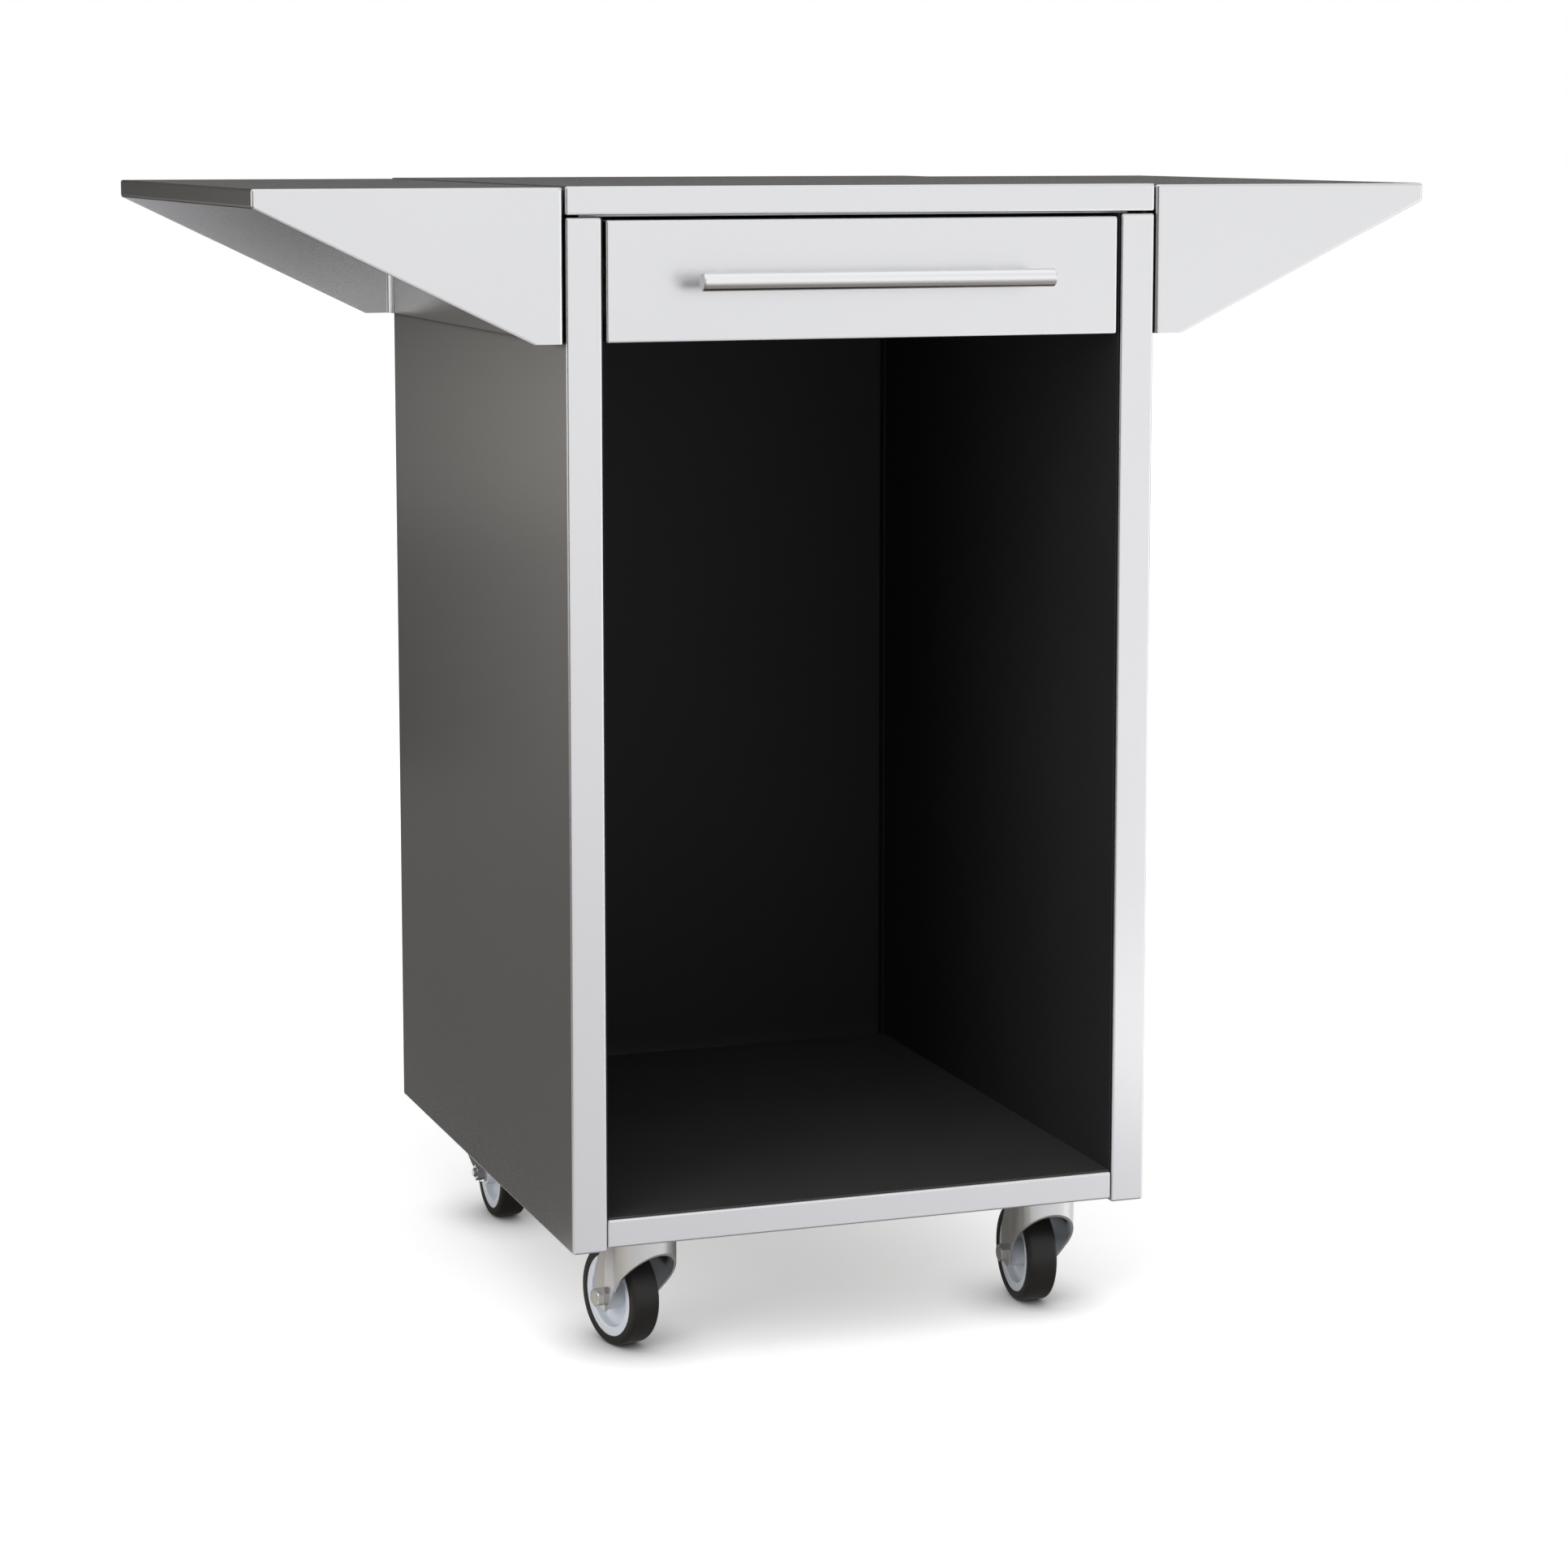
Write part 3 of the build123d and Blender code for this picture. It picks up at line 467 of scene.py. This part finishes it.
def threaded_rod(radius, high, low, tail):
    bpy.ops.mesh.primitive_cylinder_add(
        vertices=40, radius=radius, depth=high - low - tail, location=(0, 0, (high + low + tail) / 2)
    )
    rod = bpy.context.object
    settle(rod)
    for face in rod.data.polygons:
        face.select = face.normal.z < -0.9
    bpy.ops.object.mode_set(mode="EDIT")
    bpy.ops.mesh.select_mode(type="FACE")
    turn = [(valley, pitch_share), (1 / valley, pitch_share)]
    for inward, step in turn + turn + [(point, point_share)]:
        bpy.ops.mesh.extrude_region_move(TRANSFORM_OT_translate={"value": (0, 0, -step * tail)})
        bpy.ops.transform.resize(value=(inward, inward, 1.0))
    bpy.ops.object.mode_set(mode="OBJECT")
    return rod


# %% Bolt and nut as one set, its head above the origin and its nut below the grip
def bolt_set(name, thread, flats, head, grip, nut, tail):
    end = -(grip + nut + tail)
    head_part = faced_hexagon(flats, 0.0, head, (1,))
    nut_part = faced_hexagon(flats, -(grip + nut), -grip, (1, -1))
    made = merge([head_part, nut_part, threaded_rod(thread / 2, head / 2, end, tail)], name)
    made.data.materials.append(bolt_steel)
    bpy.ops.object.shade_smooth_by_angle(angle=math.radians(28))
    return made


# %% Helpers: copies of a pattern as one piece of the object, and the turn that places a copy
def lay_out(pattern, name, turns, body, node):
    copies = []
    for turn in turns:
        copy = pattern.copy()
        copy.data = pattern.data.copy()
        bpy.context.scene.collection.objects.link(copy)
        copy.data.transform(turn)
        copies.append(copy)
    laid = merge(copies, name)
    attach(laid, body)
    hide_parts(node)


def turned(spot, outward, corner):
    axes = Vector(corner).cross(Vector(outward)), Vector(corner), Vector(outward)
    return Matrix.Translation(spot) @ Matrix(axes).transposed().to_4x4()


# %% Axle bolts, one set for each caster
joints = {joint["name"]: joint for joint in frame["joints"]}
up = Vector((0, 0, 1))
axle_grip = 38 * mm
axle_pattern = bolt_set(
    "axle_pattern", thread=8 * mm, flats=13 * mm, head=5.3 * mm, grip=axle_grip, nut=6.5 * mm, tail=2 * mm
)
for corner in corners:
    roll = joints[f"{corner}_roll"]
    along = Vector(roll["axis"]).normalized()
    spot = Vector(roll["pos_m"]) - axle_grip / 2 * along
    turns = [turned(spot, -along, up)]
    lay_out(
        axle_pattern, f"{corner}_axle_set", turns, f"{corner}_caster_fork", f"{corner}_axle_fasteners"
    )
bpy.data.objects.remove(axle_pattern, do_unlink=True)
print("axle bolts", len(corners))

# %% Bolts of the caster plates, four around each kingpin
half_pitch_x = 30.75 * mm
half_pitch_y = 25.75 * mm
m6_flats = 10 * mm
m6_head = 4 * mm
plate_pattern = bolt_set(
    "plate_pattern", thread=6 * mm, flats=m6_flats, head=m6_head, grip=3.7 * mm, nut=5 * mm, tail=2 * mm
)
low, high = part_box("caster_bolts")
seat = low.z + m6_head
spots = []
for corner in corners:
    pin = Vector(joints[f"{corner}_swivel"]["pos_m"])
    for side_x in (-1, 1):
        for side_y in (-1, 1):
            spots.append(Vector((pin.x + side_x * half_pitch_x, pin.y + side_y * half_pitch_y, seat)))
turns = [turned(spot, -up, (1, 0, 0)) for spot in spots]
lay_out(plate_pattern, "caster_bolt_set", turns, "cabinet", "caster_bolts")
bpy.data.objects.remove(plate_pattern, do_unlink=True)
print("plate bolts", len(spots), "between", low, high)

# %% Bolts that hold the shelf plates
shelf_pattern = bolt_set(
    "shelf_pattern", thread=6 * mm, flats=m6_flats, head=m6_head, grip=2.7 * mm, nut=5 * mm, tail=2 * mm
)
low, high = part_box("shelf_bolts")
rows = (low.y + m6_flats / 2, (low.y + high.y) / 2, high.y - m6_flats / 2)
turns = [
    turned((side * (high.x - m6_head), y, (low.z + high.z) / 2), (side, 0, 0), up)
    for side in (-1, 1)
    for y in rows
]
lay_out(shelf_pattern, "shelf_bolt_set", turns, "cabinet", "shelf_bolts")
bpy.data.objects.remove(shelf_pattern, do_unlink=True)
print("shelf bolts", len(turns))

# %% [markdown]
# ## Screws of the back
# The back is held by pan-head screws with a cross recess. The head is a short cylinder with a
# well-rounded rim. The recess is two narrow crossed blocks with tapered ends, taken out of it.

# %% Head of a pan-head screw
head_radius = 4 * mm
head_height = 2 * mm
rim = 1.2 * mm
bpy.ops.object.select_all(action="DESELECT")
bpy.ops.mesh.primitive_cylinder_add(
    vertices=40, radius=head_radius, depth=head_height, location=(0, 0, head_height / 2)
)
screw_head = bpy.context.object
settle(screw_head)
for face in screw_head.data.polygons:
    face.select = face.normal.z > 0.9
bpy.ops.object.mode_set(mode="EDIT")
bpy.ops.mesh.select_mode(type="FACE")
bpy.ops.mesh.region_to_loop()
bpy.ops.mesh.bevel(offset=rim, segments=5, affect="EDGES")
bpy.ops.object.mode_set(mode="OBJECT")
print("screw head faces", len(screw_head.data.polygons))

# %% Cross recess and shank
recess_middle = 1.8 * mm
recess_size = (4.4 * mm, 0.9 * mm, 2 * mm)
recess_taper = 0.55
shank_radius = 2 * mm
shank_length = 8 * mm
shank_lap = 0.01 * mm
for angle in (0, 90):
    bpy.ops.mesh.primitive_cube_add(size=1.0, location=(0, 0, recess_middle), scale=recess_size)
    blade = bpy.context.object
    settle(blade)
    for vertex in blade.data.vertices:
        if vertex.co.z < recess_middle:
            vertex.co.x *= recess_taper
    blade.data.transform(Matrix.Rotation(math.radians(angle), 4, "Z"))
    trim(screw_head, blade, "DIFFERENCE")
bpy.ops.mesh.primitive_cylinder_add(
    vertices=24, radius=shank_radius, depth=shank_length, location=(0, 0, shank_lap - shank_length / 2)
)
screw_shank = bpy.context.object
settle(screw_shank)
screw = merge([screw_head, screw_shank], "screw_pattern")
screw.data.materials.append(bolt_steel)
bpy.ops.object.shade_smooth_by_angle(angle=math.radians(30))
print("screw faces", len(screw.data.polygons))

# %% Screws in two rows down the back
row_steps = 4
low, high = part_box("back_screws")
row_pitch = (high.z - low.z - 2 * head_radius) / row_steps
rows = [low.z + head_radius + step * row_pitch for step in range(row_steps + 1)]
turns = [
    turned((side * (high.x - head_radius), high.y - head_height, z), (0, 1, 0), up)
    for side in (-1, 1)
    for z in rows
]
lay_out(screw, "back_screw_set", turns, "cabinet", "back_screws")
bpy.data.objects.remove(screw, do_unlink=True)

# %% [markdown]
# ## The studio
# The floor and background are white and the light is soft. The floor glows only for the camera and
# for reflections, less near the object, so a soft shadow stays around it, and a little more at the
# right, where a second lamp would fill the shadow. Ambient occlusion takes the glow away where a
# tyre stands, which keeps the contact dark.

# %% Floor: white in the distance, with a soft shadow near the object
# Painted shadow: the floor's glow is lower near the object.
near, distant = 0.5, 1.1
near_glow, distant_glow = 0.43, 0.56
fill_start, fill_end, fill_glow = 0.0, 0.32, 0.17
floor_white = (0.8, 0.8, 0.8, 1.0)
bpy.ops.object.select_all(action="DESELECT")
bpy.ops.mesh.primitive_plane_add(size=60.0, location=(0.0, 0.0, 0.0))
floor = bpy.context.object
floor.name = "studio_floor"
floor_paint, tree, shader = open_finish("white floor")
shader.inputs["Roughness"].default_value = 0.9
shader.inputs["Specular IOR Level"].default_value = 0.0
shader.inputs["Emission Color"].default_value = (1.0, 1.0, 1.0, 1.0)
rays = tree.nodes.new("ShaderNodeLightPath")
seen = tree.nodes.new("ShaderNodeMath")
seen.operation = "MAXIMUM"
tree.links.new(rays.outputs["Is Camera Ray"], seen.inputs[0])
tree.links.new(rays.outputs["Is Glossy Ray"], seen.inputs[1])
place = tree.nodes.new("ShaderNodeTexCoord")
away = tree.nodes.new("ShaderNodeVectorMath")
away.operation = "LENGTH"
tree.links.new(place.outputs["Object"], away.inputs[0])
far = tree.nodes.new("ShaderNodeMapRange")
far.inputs["From Min"].default_value = near
far.inputs["From Max"].default_value = distant
far.inputs["To Min"].default_value = near_glow
far.inputs["To Max"].default_value = distant_glow
tree.links.new(away.outputs["Value"], far.inputs["Value"])
split = tree.nodes.new("ShaderNodeSeparateXYZ")
tree.links.new(place.outputs["Object"], split.inputs[0])
# Painted fill light: the floor's glow rises towards the right.
right = tree.nodes.new("ShaderNodeMapRange")
right.interpolation_type = "SMOOTHSTEP"
right.inputs["From Min"].default_value = fill_start
right.inputs["From Max"].default_value = fill_end
right.inputs["To Max"].default_value = fill_glow
tree.links.new(split.outputs["X"], right.inputs["Value"])
# Painted contact shadow: the ambient occlusion darkens both the floor's colour and its glow near a tyre.
contact = tree.nodes.new("ShaderNodeAmbientOcclusion")
contact.samples = 8
contact.inputs["Distance"].default_value = 60 * mm
contact.inputs["Color"].default_value = floor_white
tree.links.new(contact.outputs["Color"], shader.inputs["Base Color"])
glow = tree.nodes.new("ShaderNodeMath")
glow.operation = "MULTIPLY"
tree.links.new(seen.outputs[0], glow.inputs[0])
tree.links.new(far.outputs["Result"], glow.inputs[1])
fill = tree.nodes.new("ShaderNodeMath")
fill.operation = "MULTIPLY_ADD"
tree.links.new(rays.outputs["Is Camera Ray"], fill.inputs[0])
tree.links.new(right.outputs["Result"], fill.inputs[1])
tree.links.new(glow.outputs[0], fill.inputs[2])
kept = tree.nodes.new("ShaderNodeMath")
kept.operation = "MULTIPLY"
tree.links.new(fill.outputs[0], kept.inputs[0])
tree.links.new(contact.outputs["AO"], kept.inputs[1])
tree.links.new(kept.outputs[0], shader.inputs["Emission Strength"])
floor.data.materials.append(floor_paint)
print("floor", floor.name)

# %% [markdown]
# Brushed steel shows its surroundings, so the room matters as much as the finish. A photographer
# hangs grey cards around such an object. Here the cards are planes that only reflections see, so
# they shape the steel and light nothing else. Each glows in its own grey, and most fade along one
# axis, because a hard end would draw a line in the steel.

# %% A helper that hangs a reflection card
def reflection_card(name, lowest, highest, colour, axis, fade):
    low, high = Vector(lowest), Vector(highest)
    bpy.ops.object.select_all(action="DESELECT")
    bpy.ops.mesh.primitive_plane_add(size=1.0)
    card = bpy.context.object
    card.name = name
    thin = min(range(3), key=lambda number: high[number] - low[number])
    facing = Vector((0, 0, 0))
    facing[thin] = 1
    card.data.transform(up.rotation_difference(facing).to_matrix().to_4x4())
    card.data.transform(Matrix.Diagonal((*[max(size, 1 * mm) for size in high - low], 1.0)))
    card.data.transform(Matrix.Translation((low + high) / 2))
    paint, tree, shader = open_finish(name)
    shader.inputs["Base Color"].default_value = (0.0, 0.0, 0.0, 1.0)
    shader.inputs["Specular IOR Level"].default_value = 0.0
    shader.inputs["Emission Color"].default_value = (*colour, 1.0)
    place = tree.nodes.new("ShaderNodeTexCoord")
    split = tree.nodes.new("ShaderNodeSeparateXYZ")
    tree.links.new(place.outputs["Object"], split.inputs[0])
    level = None
    for start, end, first, last in fade:
        ramp = tree.nodes.new("ShaderNodeMapRange")
        ramp.interpolation_type = "SMOOTHSTEP"
        ramp.inputs["From Min"].default_value = start
        ramp.inputs["From Max"].default_value = end
        ramp.inputs["To Min"].default_value = first
        ramp.inputs["To Max"].default_value = last
        tree.links.new(split.outputs[axis], ramp.inputs["Value"])
        if level is None:
            level = ramp.outputs["Result"]
        else:
            product = tree.nodes.new("ShaderNodeMath")
            product.operation = "MULTIPLY"
            tree.links.new(level, product.inputs[0])
            tree.links.new(ramp.outputs["Result"], product.inputs[1])
            level = product.outputs[0]
    tree.links.new(level, shader.inputs["Emission Strength"])
    card.data.materials.append(paint)
    for kind in ("camera", "diffuse", "transmission", "volume_scatter", "shadow"):
        setattr(card, f"visible_{kind}", False)


warm_grey = (1.0, 0.95, 0.89)
cool_grey = (0.975, 0.97, 1.0)
plain_grey = (1.0, 1.0, 1.0)
left_wall, back_wall, front_wall, right_wall = -4.0, 2.6, -2.6, 2.2
ground, ceiling = -0.1, 2.6
lying = 2 * mm  # level of the cards that lie on the floor

# %% [markdown]
# The wall behind is dark and warm, in three bands, because the side and the worktop look at it from
# different heights. It gives them their depth.

# %% Dark wall behind
behind_end = 3.0
low_band, middle_band, high_band = 0.37, 0.68, 4.6
reflection_card(
    "card_behind_low", (left_wall, back_wall, ground), (behind_end, back_wall, low_band),
    warm_grey, "X", [(-0.7, -1.9, 0.03, 0.36)],
)
reflection_card(
    "card_behind", (left_wall, back_wall, low_band), (behind_end, back_wall, middle_band),
    warm_grey, "X", [(-0.6, -1.8, 0.05, 0.5)],
)
reflection_card(
    "card_behind_high", (left_wall, back_wall, middle_band), (behind_end, back_wall, high_band),
    warm_grey, "X", [(-0.9, -2.4, 0.035, 0.3), (-0.8, 0.0, 1.0, 2.2)],
)

# %% [markdown]
# Cards on the floor take the glare off the lower edges and the casters. The ones in front grow
# paler with distance, as a white floor does, because the front looks far along it.

# %% Cards on the floor
near_edge, middle_edge, far_edge = -1.6, -3.4, -7.0
front_start = -0.6
reflection_card(
    "card_left_floor", (left_wall, -0.5, lying), (-0.26, back_wall, lying),
    warm_grey, "Y", [(-0.5, -0.05, 0.75, 0.5), (-0.06, 0.14, 1.0, 0.21)],
)
reflection_card(
    "card_below", (-0.24, -0.34, lying), (0.3, 0.28, lying),
    warm_grey, "Y", [(-0.34, 0.05, 0.3, 0.12)],
)
reflection_card(
    "card_right_floor", (0.3, -0.2, lying), (right_wall, back_wall, lying),
    plain_grey, "Y", [(-0.2, 1.2, 0.85, 0.4)],
)
reflection_card(
    "card_front_floor", (front_start, near_edge, lying), (0.5, -0.35, lying),
    cool_grey, "X", [(-0.4, 0.3, 0.71, 0.82)],
)
reflection_card(
    "card_front_mid", (front_start, middle_edge, lying), (1.1, near_edge, lying),
    cool_grey, "Y", [(middle_edge, near_edge, 0.87, 0.82)],
)
reflection_card(
    "card_front_far", (front_start, far_edge, lying), (2.2, middle_edge, lying),
    cool_grey, "Y", [(far_edge, middle_edge, 0.98, 0.87)],
)
reflection_card(
    "card_front_left_floor", (left_wall, front_wall, lying), (-0.62, -0.5, lying),
    warm_grey, "X", [(-1.6, -0.62, 0.1, 0.38)],
)

# %% [markdown]
# The cards around the room stand for its walls. The left one is grey, with a bright strip before it
# that lines the folds on that side, and a bright one at the right does the same there. The grey
# ones further off at the right keep the steel from going white when it is seen from the other sides.

# %% Cards around the room
strip_x = -3.9
far_right_x = 4.0
far_front_y = -5.0
reflection_card(
    "card_front_left", (left_wall, front_wall, ground), (-0.95, front_wall, ceiling),
    warm_grey, "X", [(-1.8, -0.95, 0.1, 0.35)],
)
reflection_card(
    "card_right", (right_wall, -2.2, ground), (right_wall, -0.5, 1.05),
    plain_grey, "Y", [(-0.5, -1.0, 1.0, 1.6)],
)
reflection_card(
    "card_left", (left_wall, front_wall, ground), (left_wall, back_wall, ceiling),
    warm_grey, "Y", [(front_wall, back_wall, 0.4, 0.5)],
)
reflection_card(
    "card_left_strip", (strip_x, -1.2, 0.3), (strip_x, 0.5, 1.6),
    plain_grey, "Y", [(-1.2, 0.5, 1.8, 1.8)],
)
reflection_card(
    "card_right_far", (far_right_x, -2.4, ground), (far_right_x, 2.8, 3.0),
    plain_grey, "Z", [(0.0, 2.0, 0.45, 0.75)],
)
reflection_card(
    "card_front_right", (2.4, far_front_y, 1.3), (14.0, far_front_y, 8.0),
    plain_grey, "X", [(2.4, 4.6, 1.0, 0.5)],
)

# %% [markdown]
# Around everything lies a white room. The camera and reflections see it as plain white. It lights
# the object less than that, so that the lamps can still shape it.

# %% White room
seen_white = 1.0
room_light = 0.55
world = bpy.data.worlds.new("white room")
bpy.context.scene.world = world
world.use_nodes = True
tree = world.node_tree
backdrop = tree.nodes["Background"]
backdrop.inputs["Color"].default_value = (1.0, 1.0, 1.0, 1.0)
rays = tree.nodes.new("ShaderNodeLightPath")
seen = tree.nodes.new("ShaderNodeMath")
seen.operation = "MAXIMUM"
tree.links.new(rays.outputs["Is Camera Ray"], seen.inputs[0])
tree.links.new(rays.outputs["Is Glossy Ray"], seen.inputs[1])
also = tree.nodes.new("ShaderNodeMath")
also.operation = "MAXIMUM"
tree.links.new(seen.outputs[0], also.inputs[0])
tree.links.new(rays.outputs["Is Transmission Ray"], also.inputs[1])
level = tree.nodes.new("ShaderNodeMapRange")
level.inputs["To Min"].default_value = room_light
level.inputs["To Max"].default_value = seen_white
tree.links.new(also.outputs[0], level.inputs["Value"])
tree.links.new(level.outputs["Result"], backdrop.inputs["Strength"])
print("world", world.name)

# %% [markdown]
# Two square lamps light the object: a large one above the front left, and a smaller one low at the
# left. They are kept out of reflections, because the cards already shape those.

# %% Softboxes
def softbox(name, place, target, size, power):
    lamp = bpy.data.lights.new(name, "AREA")
    lamp.size = size
    lamp.energy = power
    box = bpy.data.objects.new(name, lamp)
    bpy.context.scene.collection.objects.link(box)
    box.visible_glossy = False
    box.location = place
    box.rotation_euler = (Vector(target) - Vector(place)).to_track_quat("-Z", "Y").to_euler()


softbox("overhead_box", (-1.3, -1.2, 3.0), target=(0.0, 0.0, 0.4), size=2.6, power=46.0)
softbox("left_box", (-2.4, -1.5, 0.9), target=(-0.2, -0.1, 0.2), size=1.4, power=26.0)

# %% [markdown]
# ## The camera
# The picture is square. Its camera stands at the front left, just above worktop height, about
# three metres off with a long lens, and looks a little down.

# %% Camera
looks_down = 7.295
looks_right = 19.496
lens_data = bpy.data.cameras.new("camera")
camera = bpy.data.objects.new("camera", lens_data)
bpy.context.scene.collection.objects.link(camera)
lens_data.sensor_width = 36.0
lens_data.lens = 89.283
lens_data.shift_y = -0.1
camera.location = (-1.051, -3.0288, 0.9516)
camera.rotation_euler = (math.radians(90.0 - looks_down), 0.0, math.radians(-looks_right))
bpy.context.scene.camera = camera
bpy.context.scene.view_settings.view_transform = "Standard"
print("camera", [round(v, 3) for v in camera.location])
